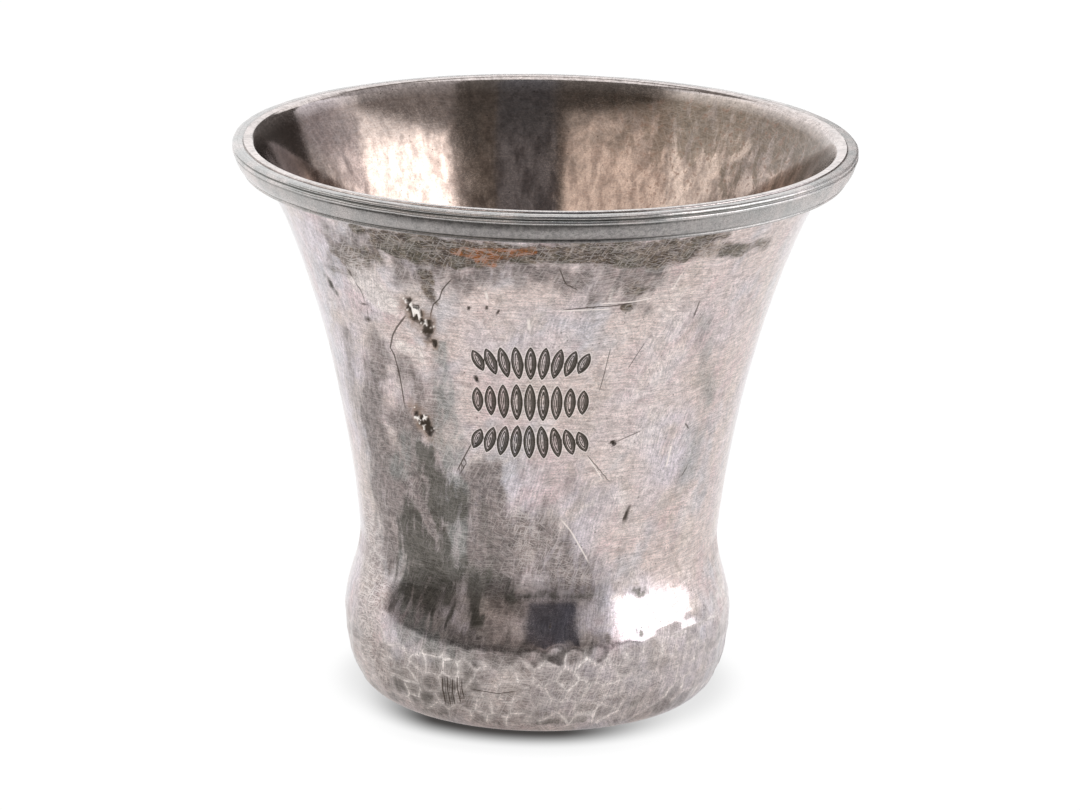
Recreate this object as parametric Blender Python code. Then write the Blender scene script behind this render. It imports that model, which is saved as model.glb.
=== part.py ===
"""A silver beaker: a raised body with a hammered foot, and a moulded rim soldered on.

Units are metres and +Z is up. The origin is the centre of the underside, and the
engraved side faces -Y.
"""

import math

import bmesh
import bpy
from mathutils import Vector

# Body: heights are above the underside, radii are to the outside of the wall
HEIGHT = 0.0800
FOOT_RADIUS = 0.0229
FOOT_RING_WIDTH = 0.0022
BASE_RISE = 0.0008
BULB_RADIUS = 0.0277
BULB_HEIGHT = 0.0096
WAIST_RADIUS = 0.02565
WAIST_HEIGHT = 0.0224
LIP_RADIUS = 0.0425
LIP_LEAN = math.radians(35.0)
WAIST_STRAIGHT = 0.0030
LIP_SWEEP = 0.0226
WALL = 0.0008
BASE_THICKNESS = 0.0010

# Hammer marks: rows of shallow hollows round the lower bulb
HAMMER_BOTTOM = 0.0022
HAMMER_TOP = 0.0124
HAMMER_ROWS = 3
HAMMER_DEPTH = 0.00016

# Rim moulding: a drawn wire that wraps the outside of the lip
RIM_WIDTH = 0.0016
RIM_DEPTH = 0.0042
RIM_TAPER = 0.0015
RIM_SET_DOWN = 0.0001
RIM_EDGE_DROP = 0.0006
EDGE_BEAD_RADIUS = 0.00042
RIM_GROOVE_WIDTH = 0.0004
RIM_GROOVE_DEPTH = 0.0003
BAND_BULGE = 0.0003
LOWER_BEAD_RADIUS = 0.00028
SOLDER_GAP = 0.0003

# Engraved device on the front: rows of shallow tapered strokes
DEVICE_CENTRE_HEIGHT = 0.0501
DEVICE_SHIFT = -0.0015
DEVICE_WIDTH = 0.0146
STROKE_ROWS = (
    {"offset": 0.0060, "length": 0.0050, "lean": math.radians(22.0)},
    {"offset": 0.0, "length": 0.0056, "lean": 0.0},
    {"offset": -0.0060, "length": 0.0050, "lean": math.radians(-22.0)},
)
STROKES_PER_ROW = 9
STROKE_END_SHORTENING = 0.35
STROKE_WIDTH = 0.00070
STROKE_DEPTH = 0.00022
CUTTER_CLEAR = 0.0003

# Fineness of the turned solids
SEGMENTS = 72
FLARE_STEPS = 11
WAIST_STEPS = 4
INSIDE_STEPS = 15


def foot_point(share):
    """Quarter ellipse from the standing ring up to the widest part of the bulb."""
    angle = 0.5 * math.pi * share
    radius = FOOT_RADIUS + (BULB_RADIUS - FOOT_RADIUS) * math.sin(angle)
    return radius, BULB_HEIGHT * (1.0 - math.cos(angle))


def waist_point(share):
    """Soft shoulder from the bulb in to the waist."""
    ease = 0.5 - 0.5 * math.cos(math.pi * share)
    radius = BULB_RADIUS + (WAIST_RADIUS - BULB_RADIUS) * ease
    return radius, BULB_HEIGHT + (WAIST_HEIGHT - BULB_HEIGHT) * share


def flare_point(share):
    """Bezier curve from the upright waist out to the leaning lip."""
    start = Vector((WAIST_RADIUS, WAIST_HEIGHT))
    end = Vector((LIP_RADIUS, HEIGHT))
    first = start + Vector((0.0, WAIST_STRAIGHT))
    second = end - LIP_SWEEP * Vector((math.sin(LIP_LEAN), math.cos(LIP_LEAN)))
    rest = 1.0 - share
    point = (rest ** 3 * start + 3.0 * rest ** 2 * share * first
             + 3.0 * rest * share ** 2 * second + share ** 3 * end)
    return point.x, point.y


def outer_point(height):
    """Radius of the outside of the wall at a height, with the height itself."""
    if height <= BULB_HEIGHT:
        return foot_point(math.acos(1.0 - height / BULB_HEIGHT) / (0.5 * math.pi))
    if height <= WAIST_HEIGHT:
        return waist_point((height - BULB_HEIGHT) / (WAIST_HEIGHT - BULB_HEIGHT))
    low, high = 0.0, 1.0
    for _ in range(40):
        middle = 0.5 * (low + high)
        if flare_point(middle)[1] < height:
            low = middle
        else:
            high = middle
    return flare_point(high)


def outer_radius(height):
    return outer_point(height)[0]


def outer_normal(height):
    """Outward direction (radial, upward) square to the wall at a height."""
    step = 0.0001
    low = max(height - step, 0.0)
    high = min(height + step, HEIGHT)
    along = Vector((outer_radius(high) - outer_radius(low), high - low)).normalized()
    return Vector((along.y, -along.x))


def inner_radius(height):
    """Inside radius at a height: the wall is measured square to its outside."""
    low, high = 0.0, HEIGHT
    for _ in range(40):
        middle = 0.5 * (low + high)
        if middle - WALL * outer_normal(middle).y < height:
            low = middle
        else:
            high = middle
    return outer_radius(high) - WALL * outer_normal(high).x


def base_lift(radius):
    """How far the dished base stands above the standing ring at a radius."""
    inner_edge = FOOT_RADIUS - FOOT_RING_WIDTH
    share = min(radius / inner_edge, 1.0)
    return BASE_RISE * (1.0 - share * share)


def spread(start, end, steps):
    """Evenly spaced values from start to end, both included."""
    return [start + (end - start) * step / steps for step in range(steps + 1)]


def hammered_heights():
    """Station heights of the hammered band: edges and middles of its rows."""
    return spread(HAMMER_BOTTOM, HAMMER_TOP, 2 * HAMMER_ROWS)


def body_profile():
    """Outline of the body from the middle of the underside, outside up, inside down."""
    ring_inner = FOOT_RADIUS - FOOT_RING_WIDTH
    underside = [(ring_inner * share, base_lift(ring_inner * share)) for share in (0.35, 0.7)]
    underside += [(ring_inner, 0.0), (FOOT_RADIUS, 0.0)]
    corner = [outer_point(HAMMER_BOTTOM * share) for share in (0.12, 0.5)]
    hammered = [outer_point(height) for height in hammered_heights()]
    shoulder = [outer_point(height) for height in spread(HAMMER_TOP, WAIST_HEIGHT, WAIST_STEPS)]
    flare = [flare_point(share) for share in spread(0.0, 1.0, FLARE_STEPS)]
    inside = []
    for share in spread(1.0, 0.0, INSIDE_STEPS):
        height = BASE_THICKNESS + (HEIGHT - BASE_THICKNESS) * share ** 1.5
        inside.append((inner_radius(height), height))
    floor = [(ring_inner * share, BASE_THICKNESS + base_lift(ring_inner * share))
             for share in (1.0, 0.7, 0.35)]
    return underside + corner + hammered + shoulder[1:] + flare[1:] + inside + floor


def hammer_push(height, column):
    """Depth of the hammer marks: the middle of each mark is pushed in, row by row."""
    stations = hammered_heights()
    for index in range(1, len(stations), 2):
        if abs(height - stations[index]) < 1e-7 and (column + index // 2) % 2 == 1:
            return HAMMER_DEPTH
    return 0.0


def turned_rings(mesh, profile, push=None):
    """One ring of vertices for each profile point, turned about the Z axis."""
    rings = []
    for radius, height in profile:
        ring = []
        for column in range(SEGMENTS):
            angle = 2.0 * math.pi * column / SEGMENTS
            depth = push(height, column) if push else 0.0
            reach = radius - depth
            ring.append(mesh.verts.new((reach * math.cos(angle), reach * math.sin(angle), height)))
        rings.append(ring)
    return rings


def bridge(mesh, lower, upper):
    for column in range(SEGMENTS):
        beside = (column + 1) % SEGMENTS
        mesh.faces.new((lower[column], lower[beside], upper[beside], upper[column]))


def cap(mesh, ring, height):
    """Close a ring with a fan to its middle point."""
    middle = mesh.verts.new((0.0, 0.0, height))
    for column in range(SEGMENTS):
        mesh.faces.new((ring[column], ring[(column + 1) % SEGMENTS], middle))


def silver(name, colour, roughness):
    """Tarnished silver as a plain metallic surface."""
    material = bpy.data.materials.new(name)
    material.use_nodes = True
    surface = material.node_tree.nodes["Principled BSDF"]
    surface.inputs["Base Color"].default_value = (*colour, 1.0)
    surface.inputs["Metallic"].default_value = 1.0
    surface.inputs["Roughness"].default_value = roughness
    return material


def add_object(name, mesh, material, sharp_angle):
    """Turn a bmesh into a named, smooth-shaded object with its faces pointing out."""
    bmesh.ops.recalc_face_normals(mesh, faces=mesh.faces)
    data = bpy.data.meshes.new(name)
    mesh.to_mesh(data)
    mesh.free()
    data.shade_smooth()
    data.set_sharp_from_angle(angle=sharp_angle)
    if material:
        data.materials.append(material)
    item = bpy.data.objects.new(name, data)
    bpy.context.scene.collection.objects.link(item)
    return item


def make_body():
    """The raised vessel: hollow, open above, standing on a flat ring."""
    profile = body_profile()
    mesh = bmesh.new()
    rings = turned_rings(mesh, profile, hammer_push)
    for lower, upper in zip(rings, rings[1:]):
        bridge(mesh, lower, upper)
    cap(mesh, rings[0], base_lift(0.0))
    cap(mesh, rings[-1], BASE_THICKNESS + base_lift(0.0))
    material = silver("tarnished_silver", (0.60, 0.55, 0.53), 0.30)
    return add_object("beaker_body", mesh, material, math.radians(40.0))


def arc(centre, radius, start, end, steps):
    """Points of a circular arc in the (radius, height) plane, angles in degrees."""
    angles = [math.radians(angle) for angle in spread(start, end, steps)]
    return [(centre[0] + radius * math.cos(angle), centre[1] + radius * math.sin(angle))
            for angle in angles]


def rim_profile():
    """Closed outline of the moulding: top land, groove, edge bead, band, lower bead, inside."""
    top = HEIGHT - RIM_SET_DOWN
    bottom = top - RIM_DEPTH
    rim_radius = LIP_RADIUS + RIM_WIDTH
    lower_radius = rim_radius - RIM_TAPER

    edge_centre = (rim_radius - EDGE_BEAD_RADIUS, top - RIM_EDGE_DROP)
    edge_bead = arc(edge_centre, EDGE_BEAD_RADIUS, 110.0, -50.0, 4)
    groove_outer = edge_bead[0][0] - 0.2 * RIM_GROOVE_WIDTH
    groove = [(groove_outer - RIM_GROOVE_WIDTH, top - 0.15 * RIM_GROOVE_DEPTH),
              (groove_outer - 0.4 * RIM_GROOVE_WIDTH, top - RIM_GROOVE_DEPTH)]

    lower_centre = (lower_radius - LOWER_BEAD_RADIUS, bottom + LOWER_BEAD_RADIUS)
    lower_bead = arc(lower_centre, LOWER_BEAD_RADIUS, 40.0, -90.0, 3)
    start = Vector(edge_bead[-1])
    end = Vector((lower_bead[0][0], lower_bead[0][1] + 0.5 * LOWER_BEAD_RADIUS))
    outward = Vector((start.y - end.y, end.x - start.x)).normalized()
    band = []
    for share in (0.12, 0.4, 0.7, 1.0):
        bulge = BAND_BULGE * 4.0 * share * (1.0 - share)
        band.append(tuple(start.lerp(end, share) + bulge * outward))

    inner_face = []
    for share in (0.0, 0.5, 1.0):
        height = bottom + (top - bottom) * share
        clear = SOLDER_GAP / outer_normal(height).x
        inner_face.append((outer_radius(height) + clear, height))
    return groove + edge_bead + band + lower_bead + inner_face


def make_rim():
    """The soldered moulding, one closed ring round the lip."""
    mesh = bmesh.new()
    rings = turned_rings(mesh, rim_profile())
    for lower, upper in zip(rings, rings[1:] + rings[:1]):
        bridge(mesh, lower, upper)
    material = silver("rim_silver", (0.55, 0.55, 0.54), 0.24)
    return add_object("rim_moulding", mesh, material, math.radians(30.0))


def stroke_frame(across, height):
    """Point on the front of the wall with its sideways, upward and outward directions."""
    radius = outer_radius(height)
    angle = -0.5 * math.pi + (across + DEVICE_SHIFT) / radius
    flat = Vector((math.cos(angle), math.sin(angle), 0.0))
    side = Vector((-math.sin(angle), math.cos(angle), 0.0))
    normal = outer_normal(height)
    outward = normal.x * flat + Vector((0.0, 0.0, normal.y))
    upward = outward.cross(side)
    return radius * flat + Vector((0.0, 0.0, height)), side, upward, outward


def add_stroke(mesh, across, height, length, lean):
    """One boat-shaped cutter: a pointed outline over the wall and a keel inside it."""
    origin, side, upward, outward = stroke_frame(across, height)
    along = math.cos(lean) * upward + math.sin(lean) * side
    wide = math.cos(lean) * side - math.sin(lean) * upward
    full_width = STROKE_WIDTH * (1.0 + CUTTER_CLEAR / STROKE_DEPTH)
    deck = origin + CUTTER_CLEAR * outward
    keel = origin - STROKE_DEPTH * outward
    corners = [deck + 0.5 * length * along, deck - 0.5 * length * along,
               deck + 0.5 * full_width * wide, deck - 0.5 * full_width * wide,
               keel + 0.3 * length * along, keel - 0.3 * length * along]
    verts = [mesh.verts.new(corner) for corner in corners]
    bmesh.ops.convex_hull(mesh, input=verts)


def make_engraving(body):
    """Cut the rows of strokes into the front of the wall."""
    mesh = bmesh.new()
    for row in STROKE_ROWS:
        for index in range(STROKES_PER_ROW):
            share = 2.0 * index / (STROKES_PER_ROW - 1) - 1.0
            across = 0.5 * DEVICE_WIDTH * share
            length = row["length"] * (1.0 - STROKE_END_SHORTENING * share * share)
            add_stroke(mesh, across, DEVICE_CENTRE_HEIGHT + row["offset"], length, row["lean"] * share)
    cutters = add_object("stroke_cutters", mesh, None, math.radians(30.0))
    cutters.hide_render = True
    cutters.display_type = "WIRE"
    cut = body.modifiers.new("engraved_strokes", "BOOLEAN")
    cut.operation = "DIFFERENCE"
    cut.solver = "EXACT"
    cut.object = cutters


def main():
    for item in list(bpy.data.objects):
        bpy.data.objects.remove(item)
    body = make_body()
    make_rim()
    make_engraving(body)


main()
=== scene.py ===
"""Looks of the silver beaker: worn, tarnished silver with a hammered foot, an engraved
device and a soldered rim moulding, standing on a plain white ground.

Lengths are in millimetres and become metres where a mesh is made. Angles round the
beaker are in degrees from the engraved front (-Y), positive towards +X.
"""

import math
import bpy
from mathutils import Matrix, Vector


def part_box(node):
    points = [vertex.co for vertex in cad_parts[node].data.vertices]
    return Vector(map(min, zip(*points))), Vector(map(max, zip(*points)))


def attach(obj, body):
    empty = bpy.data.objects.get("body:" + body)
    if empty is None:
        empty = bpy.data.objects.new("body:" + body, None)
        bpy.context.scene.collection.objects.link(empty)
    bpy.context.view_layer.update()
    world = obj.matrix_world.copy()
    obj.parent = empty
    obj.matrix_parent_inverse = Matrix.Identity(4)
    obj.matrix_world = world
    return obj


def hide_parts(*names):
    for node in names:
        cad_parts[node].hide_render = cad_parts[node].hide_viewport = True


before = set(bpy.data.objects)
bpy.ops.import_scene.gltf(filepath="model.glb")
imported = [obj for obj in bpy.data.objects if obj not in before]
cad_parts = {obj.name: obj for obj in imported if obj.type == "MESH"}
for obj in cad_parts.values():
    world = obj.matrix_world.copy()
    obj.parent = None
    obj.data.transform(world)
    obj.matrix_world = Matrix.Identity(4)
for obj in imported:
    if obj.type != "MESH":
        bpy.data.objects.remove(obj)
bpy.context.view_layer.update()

from types import SimpleNamespace

import bpy
import numpy as np
from mathutils import Matrix, Vector

MM = 0.001

# Sizes read from the frame
BODY_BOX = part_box("beaker_body")
RIM_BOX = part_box("rim_moulding")
HEIGHT = BODY_BOX[1].z / MM
LIP_RADIUS = BODY_BOX[1].x / MM
RIM_RADIUS = RIM_BOX[1].x / MM
RIM_TOP = RIM_BOX[1].z / MM
RIM_BOTTOM = RIM_BOX[0].z / MM

# The turned wall, as the solid has it but for the bulb and waist, which lie a little higher
FOOT_RADIUS = 22.9
FOOT_RING_WIDTH = 2.2
BASE_RISE = 0.8
BULB_RADIUS = 27.7
BULB_HEIGHT = 11.6
WAIST_RADIUS = 25.65
WAIST_HEIGHT = 22.8
LIP_LEAN = math.radians(35.0)
WAIST_STRAIGHT = 3.0
LIP_SWEEP = 22.6
WALL = 0.8
BASE_THICKNESS = 1.0
LIP_ROLL = 1.0

# Engraved device: the same rows of strokes as the solid, drawn finely
DEVICE_CENTRE_HEIGHT = 50.1
DEVICE_SHIFT = -1.5
DEVICE_WIDTH = 14.6
STROKE_ROWS = (
    {"offset": 6.0, "length": 5.0, "lean": math.radians(22.0)},
    {"offset": 0.0, "length": 5.6, "lean": 0.0},
    {"offset": -6.0, "length": 5.0, "lean": math.radians(-22.0)},
)
STROKES_PER_ROW = 9
STROKE_END_SHORTENING = 0.35
STROKE_WIDTH = 1.40
STROKE_DEPTH = 0.07

# Rim moulding: its lower bead, band, grooves and seam, and how far it reaches into the wall
EDGE_TO_BEAD = 1.5
BAND_SWELL = 0.18
BAND_OUTWARD = (0.88, -0.47)
REED_IN = 0.80
UPPER_GROOVE = 0.68
LOWER_GROOVE = 1.40
SOLDER_SEAM = 0.53
RIM_BITE = 0.25

# Hammer marks round the lower bulb
MARK_SPACING = 2.9
MARK_DEPTH = 0.15
MARK_LOWEST = 2.5
MARK_ROWS = 8
ROW_STEP = 0.86
TURN_JITTER = 0.42
PLACE_JITTER = 0.85
LEVEL_JITTER = 0.03
HAMMERED_RADIUS = 27.0


# Turned wall

def wall_outline(samples=900):
    """Outside of the wall from the standing ring to the lip: radii and heights."""
    turn = np.linspace(0.0, 0.5 * math.pi, samples // 4)
    foot = np.column_stack((FOOT_RADIUS + (BULB_RADIUS - FOOT_RADIUS) * np.sin(turn),
                            BULB_HEIGHT * (1.0 - np.cos(turn))))
    share = np.linspace(0.0, 1.0, samples // 4)[1:]
    ease = 0.5 - 0.5 * np.cos(math.pi * share)
    waist = np.column_stack((BULB_RADIUS + (WAIST_RADIUS - BULB_RADIUS) * ease,
                             BULB_HEIGHT + (WAIST_HEIGHT - BULB_HEIGHT) * share))
    start = np.array((WAIST_RADIUS, WAIST_HEIGHT))
    end = np.array((LIP_RADIUS, HEIGHT))
    first = start + (0.0, WAIST_STRAIGHT)
    second = end - LIP_SWEEP * np.array((math.sin(LIP_LEAN), math.cos(LIP_LEAN)))
    share = np.linspace(0.0, 1.0, samples // 2)[1:, None]
    rest = 1.0 - share
    flare = (rest ** 3 * start + 3.0 * rest ** 2 * share * first
             + 3.0 * rest * share ** 2 * second + share ** 3 * end)
    return np.vstack((foot, waist, flare))


class Wall:
    """The outside of the wall as a smooth line, read by height or by length along it."""

    def __init__(self):
        self.points = wall_outline()
        steps = np.linalg.norm(np.diff(self.points, axis=0), axis=1)
        self.lengths = np.concatenate(((0.0,), np.cumsum(steps)))
        along = np.gradient(self.points, self.lengths, axis=0)
        along /= np.linalg.norm(along, axis=1)[:, None]
        self.normals = np.column_stack((along[:, 1], -along[:, 0]))
        self.total = self.lengths[-1]

    def at(self, length):
        """Radius, height, and outward direction (radial, upward) at lengths along it."""
        return [np.interp(length, self.lengths, column) for column in (*self.points.T, *self.normals.T)]

    def length_at(self, height):
        return np.interp(height, self.points[:, 1], self.lengths)

    def radius_at(self, height):
        return np.interp(height, self.points[:, 1], self.points[:, 0])


WALL_LINE = Wall()


def wrapped(turn):
    """The same direction in radians, within half a turn either way."""
    return (turn + math.pi) % math.tau - math.pi


def smooth(value, low, high):
    """Soft step from 0 at low to 1 at high."""
    share = np.clip((value - low) / (high - low), 0.0, 1.0)
    return share * share * (3.0 - 2.0 * share)


def tapered(place):
    """Cover along a line, fading out at both ends."""
    return smooth(place, 0.0, 0.12) * smooth(place, 1.0, 0.85)


def cloud(points, size, seed, octaves=3):
    """Soft random field of about -1 to 1, whose largest forms are about one size across."""
    rng = np.random.RandomState(seed)
    total = np.zeros(len(points))
    weight = 1.0
    for _ in range(octaves):
        for _ in range(7):
            direction = rng.normal(size=3)
            direction *= 2.0 * math.pi / (size * 1.6 * np.linalg.norm(direction))
            direction *= rng.uniform(0.7, 1.4)
            total += weight * np.sin(points @ direction + rng.uniform(0.0, 2.0 * math.pi))
        weight *= 0.5
        size *= 0.5
    return total / 4.5


def stations(length, spacing):
    """Places from 0 to length whose gaps follow spacing(place)."""
    places = [0.0]
    while places[-1] < length:
        places.append(places[-1] + spacing(places[-1]))
    scale = length / places[-1]
    return np.array(places) * scale


# Marks on the outside of the wall

CRACK = ((-33, 62), (-34.4, 61.1), (-37.4, 59.3), (-39.3, 57.9), (-41.1, 55.8), (-40.2, 54.9),
         (-39.8, 52.9), (-39.6, 51), (-39.6, 49.2), (-39.7, 47.7), (-39.2, 45.8))
UPPER_CRACK = ((-19.5, 68.6), (-21.1, 67.6), (-22.7, 66.4), (-23.7, 65), (-25.5, 64), (-26.5, 62.6),
               (-27, 61.5))

# Dark lines: corners, half width, depth
CUTS = (
    (CRACK, 0.13, 0.10), (UPPER_CRACK, 0.10, 0.07),
    (((3.7, 64.4), (10.9, 64.8), (16.2, 64.9), (22, 65.2)), 0.09, 0.03),
    (((-49.3, 67.2), (-47.9, 65.4), (-46.6, 63.8), (-46, 61.6), (-46.8, 59.2)), 0.10, 0.03),
    (((21.5, 43.8), (24.9, 44.4), (29, 45.1)), 0.07, 0.02), (((12.8, 42.2), (20.9, 37.4)), 0.06, 0.02),
    (((-24.6, 38.4), (-21.8, 40.9), (-18.7, 43.6)), 0.10, 0.02), (((-23.4, 38.3), (-20.9, 40.3)), 0.07, 0.02),
    (((43.5, 45), (45.6, 43.9)), 0.14, 0.04), (((45.5, 36.3), (47.7, 37.3), (48.4, 38.6)), 0.12, 0.04),
    (((-28.6, 8.2), (-28.9, 6.2), (-28.5, 3.4)), 0.12, 0.04),
    (((-27, 8.5), (-27.2, 6.3), (-26.7, 3.4)), 0.10, 0.04),
    (((-25.3, 8.3), (-25.6, 6.3), (-25.2, 3.9)), 0.12, 0.04),
    (((-23.7, 8.7), (-23.8, 6.9), (-23.1, 4.2)), 0.10, 0.04),
    (((-22.2, 8.3), (-22.3, 6.7), (-21.9, 5.2)), 0.09, 0.03),
    (((-20.1, 6.9), (-10.9, 6.7), (-5.1, 7.3)), 0.07, 0.02),
    (((25.5, 58.8), (21.8, 54.7)), 0.06, 0.01), (((16.8, 58.6), (15.8, 54.2), (15, 51.6)), 0.06, 0.01),
    (((3.3, 71), (4.8, 68.5), (7.9, 67.4)), 0.08, 0.02), (((38.2, 64.2), (37.9, 61.5)), 0.08, 0.02),
    (((112, 60), (118, 52), (121, 41)), 0.09, 0.04),
    (((-140, 48), (-131, 44)), 0.08, 0.03),
)

# Pale rubbed lines: corners, half width
SCUFFS = (
    (((13.1, 42), (18.4, 38)), 0.09), (((6.2, 32.5), (9.7, 30.5), (16.5, 25)), 0.12),
    (((3.8, 64.3), (10.1, 64.4), (16.3, 64.4)), 0.09), (((12.2, 65.3), (20.1, 65.3), (25.5, 65.7)), 0.10),
    (((-12.6, 67.2), (-12.2, 65.6)), 0.20), (((-3.2, 63), (-3, 61.2)), 0.22),
    (((31, 69), (29.4, 66)), 0.14),
    (((40, 42), (39.2, 38.6)), 0.20), (((-8.9, 45), (-6, 43.2)), 0.07),
    (((-160, 33), (-149, 37)), 0.1),
)

# Corroded hollows: place, half width, half height, how far the top leans right, depth
MARK_KEYS = ("angle", "height", "wide", "tall", "lean", "depth")
PITS = [dict(zip(MARK_KEYS, mark)) for mark in (
    (20.3, 43.6, 0.48, 0.50, 0, 0.30),
    (27.1, 32.2, 0.42, 1.50, 0.28, 0.26),
    (-16.8, 64.1, 0.32, 0.30, 0.3, 0.10),
    (-12.6, 64.4, 0.28, 0.24, 0, 0.10),
    (-10.1, 63.8, 0.20, 0.45, 0.5, 0.08),
    (-16.6, 53.3, 0.22, 0.42, -0.4, 0.10),
    (-47.3, 61.7, 0.34, 0.26, 0, 0.08),
    (-47, 59.4, 0.24, 0.40, 0, 0.08),
    (-59.4, 62.9, 0.45, 0.9, -0.5, 0.10),
    (4, 16.6, 0.16, 0.16, 0, 0.05),
    (118, 51, 0.5, 0.6, 0, 0.22),
    (204, 37, 0.6, 0.4, 0.2, 0.2),
)]

# Corroded clusters: dark hollows crowded with small bright flakes
CLUSTERS = [dict(zip(MARK_KEYS, mark)) for mark in (
    (-30.6, 62.3, 1.15, 1.75, -0.30),
    (-28.1, 60, 0.75, 1.55, 0.22),
    (-26.9, 58, 0.42, 0.62, 0.1),
    (-33.1, 45.2, 1.15, 1.70, -0.50),
    (141, 58, 1.2, 1, 0.2),
)]


def segments(line):
    """Ends of a line's segments (angles in radians), the step across in radians, its place."""
    corners = [(math.radians(corner[0]), *corner[1:]) for corner in line]
    for index, (first, second) in enumerate(zip(corners, corners[1:])):
        step = wrapped(second[0] - first[0])
        yield index / (len(corners) - 1), 1.0 / (len(corners) - 1), first, second, step


def segment_distance(angle, height, first, second, step):
    """Signed distance on the wall to one segment, and the share of its length passed."""
    radius = WALL_LINE.radius_at(0.5 * (first[1] + second[1]))
    px = wrapped(angle - first[0]) * radius
    py = height - first[1]
    dx, dy = step * radius, second[1] - first[1]
    share = np.clip((px * dx + py * dy) / (dx * dx + dy * dy), 0.0, 1.0)
    side = np.where(px * dy - py * dx < 0.0, -1.0, 1.0)
    return side * np.hypot(px - share * dx, py - share * dy), share


def line_distance(angle, height, line):
    """Signed distance from each point to a line of corners, and the place along it."""
    best = np.full(angle.shape, 1e9)
    place = np.zeros(angle.shape)
    for start, part, first, second, step in segments(line):
        distance, share = segment_distance(angle, height, first, second, step)
        nearer = np.abs(distance) < np.abs(best)
        best = np.where(nearer, distance, best)
        place = np.where(nearer, start + part * share, place)
    return best, place


def fine_lines(angle, height, lines):
    """Signed distance to the nearest of the lines as a share of its half width, and its cover."""
    gap = np.full(angle.shape, 9.0)
    cover = np.zeros(angle.shape)
    nearest = np.full(angle.shape, 1e9)
    for line, width, *_ in lines:
        distance, place = line_distance(angle, height, line)
        here = np.abs(distance) < nearest
        nearest = np.where(here, np.abs(distance), nearest)
        gap = np.where(here, np.clip(distance / width, -6.0, 6.0), gap)
        cover = np.where(here, tapered(place) * smooth(np.abs(distance), 0.6, 0.35), cover)
    return gap, cover


def oval_distance(angle, height, mark):
    """Distance from a mark's middle as a share of its half width and half height."""
    radius = WALL_LINE.radius_at(mark["height"])
    across = (angle - math.radians(mark["angle"])) * radius
    up = height - mark["height"]
    across = across - mark["lean"] * up
    return np.hypot(across / mark["wide"], up / mark["tall"])


def hammer_field(angle, length, height, points):
    """Height of the hammered surface (shallow bowls), the ridges where they meet,
    the slopes beside them, and a tone for each bowl."""
    rng = np.random.RandomState(11)
    centres = []
    first = WALL_LINE.length_at(MARK_LOWEST)
    for row in range(MARK_ROWS):
        place = first + row * MARK_SPACING * ROW_STEP
        radius = WALL_LINE.at(place)[0]
        count = int(round(2.0 * math.pi * radius / MARK_SPACING))
        for index in range(count):
            turn = 2.0 * math.pi * (index + 0.5 * (row % 2) + rng.uniform(-TURN_JITTER, TURN_JITTER)) / count
            centres.append((turn, place + rng.uniform(-PLACE_JITTER, PLACE_JITTER),
                            rng.uniform(-LEVEL_JITTER, LEVEL_JITTER), rng.uniform(-1.0, 1.0)))
    bowl = MARK_DEPTH / (0.55 * MARK_SPACING) ** 2
    rounding = 0.22 * MARK_DEPTH
    merged = np.zeros(angle.shape)
    best = np.full(angle.shape, 1e9)
    second = np.full(angle.shape, 1e9)
    tone = np.zeros(angle.shape)
    across = 0.28 * cloud(points, 2.6, 71, 2)
    along = length + 0.28 * cloud(points, 2.6, 72, 2)
    for turn, place, offset, shade in centres:
        gap = wrapped(angle - turn) * HAMMERED_RADIUS + across
        value = bowl * (gap ** 2 + (along - place) ** 2) + offset
        merged += np.exp(-value / rounding)
        second = np.minimum(second, np.maximum(best, value))
        tone = np.where(value < best, shade, tone)
        best = np.minimum(best, value)
    top = 12.6 + 3.6 * smooth(np.abs(np.degrees(angle) - 62.0), 48.0, 8.0)
    top = top + 0.9 * np.sin(5.0 * angle + 0.7) + 0.6 * np.sin(11.0 * angle)
    fade = smooth(height, top + 1.4, top - 1.4) * smooth(length, first - 2.2, first - 0.4)
    ridge = (1.0 - np.minimum((second - best) / (0.9 * MARK_DEPTH), 1.0)) * fade
    slope = (1.0 - np.minimum((second - best) / (2.6 * MARK_DEPTH), 1.0)) * fade
    surface = -rounding * np.log(np.maximum(merged, 1e-9))
    return (np.minimum(surface, 1.2 * MARK_DEPTH) - 0.5 * MARK_DEPTH) * fade, ridge, slope, tone * fade


def engraving_fields(angle, height):
    """Distance outside (above 0) or inside the nearest stroke's leaf shape, and side of it."""
    nearest = np.full(angle.shape, 1.0)
    side = np.zeros(angle.shape)
    scale = 1.0 / math.cos(math.radians(13.0))
    for row in STROKE_ROWS:
        centre_height = DEVICE_CENTRE_HEIGHT + row["offset"]
        radius = WALL_LINE.radius_at(centre_height)
        up = (height - centre_height) * scale
        for index in range(STROKES_PER_ROW):
            share = 2.0 * index / (STROKES_PER_ROW - 1) - 1.0
            across = angle * radius - DEVICE_SHIFT - 0.5 * DEVICE_WIDTH * share
            lean = row["lean"] * share
            half = 0.5 * row["length"] * (1.0 - STROKE_END_SHORTENING * share * share)
            along = up * math.cos(lean) + across * math.sin(lean)
            aside = across * math.cos(lean) - up * math.sin(lean)
            leaf = 0.5 * STROKE_WIDTH * (1.0 - np.clip(np.abs(along) / half, 0.0, 1.0) ** 2) ** 0.8
            gap = np.hypot(aside, np.maximum(np.abs(along) - half, 0.0)) - leaf
            here = gap < nearest
            side = np.where(here, np.clip(aside / (0.5 * STROKE_WIDTH), -1.3, 1.3), side)
            nearest = np.where(here, gap, nearest)
    return nearest, side


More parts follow.
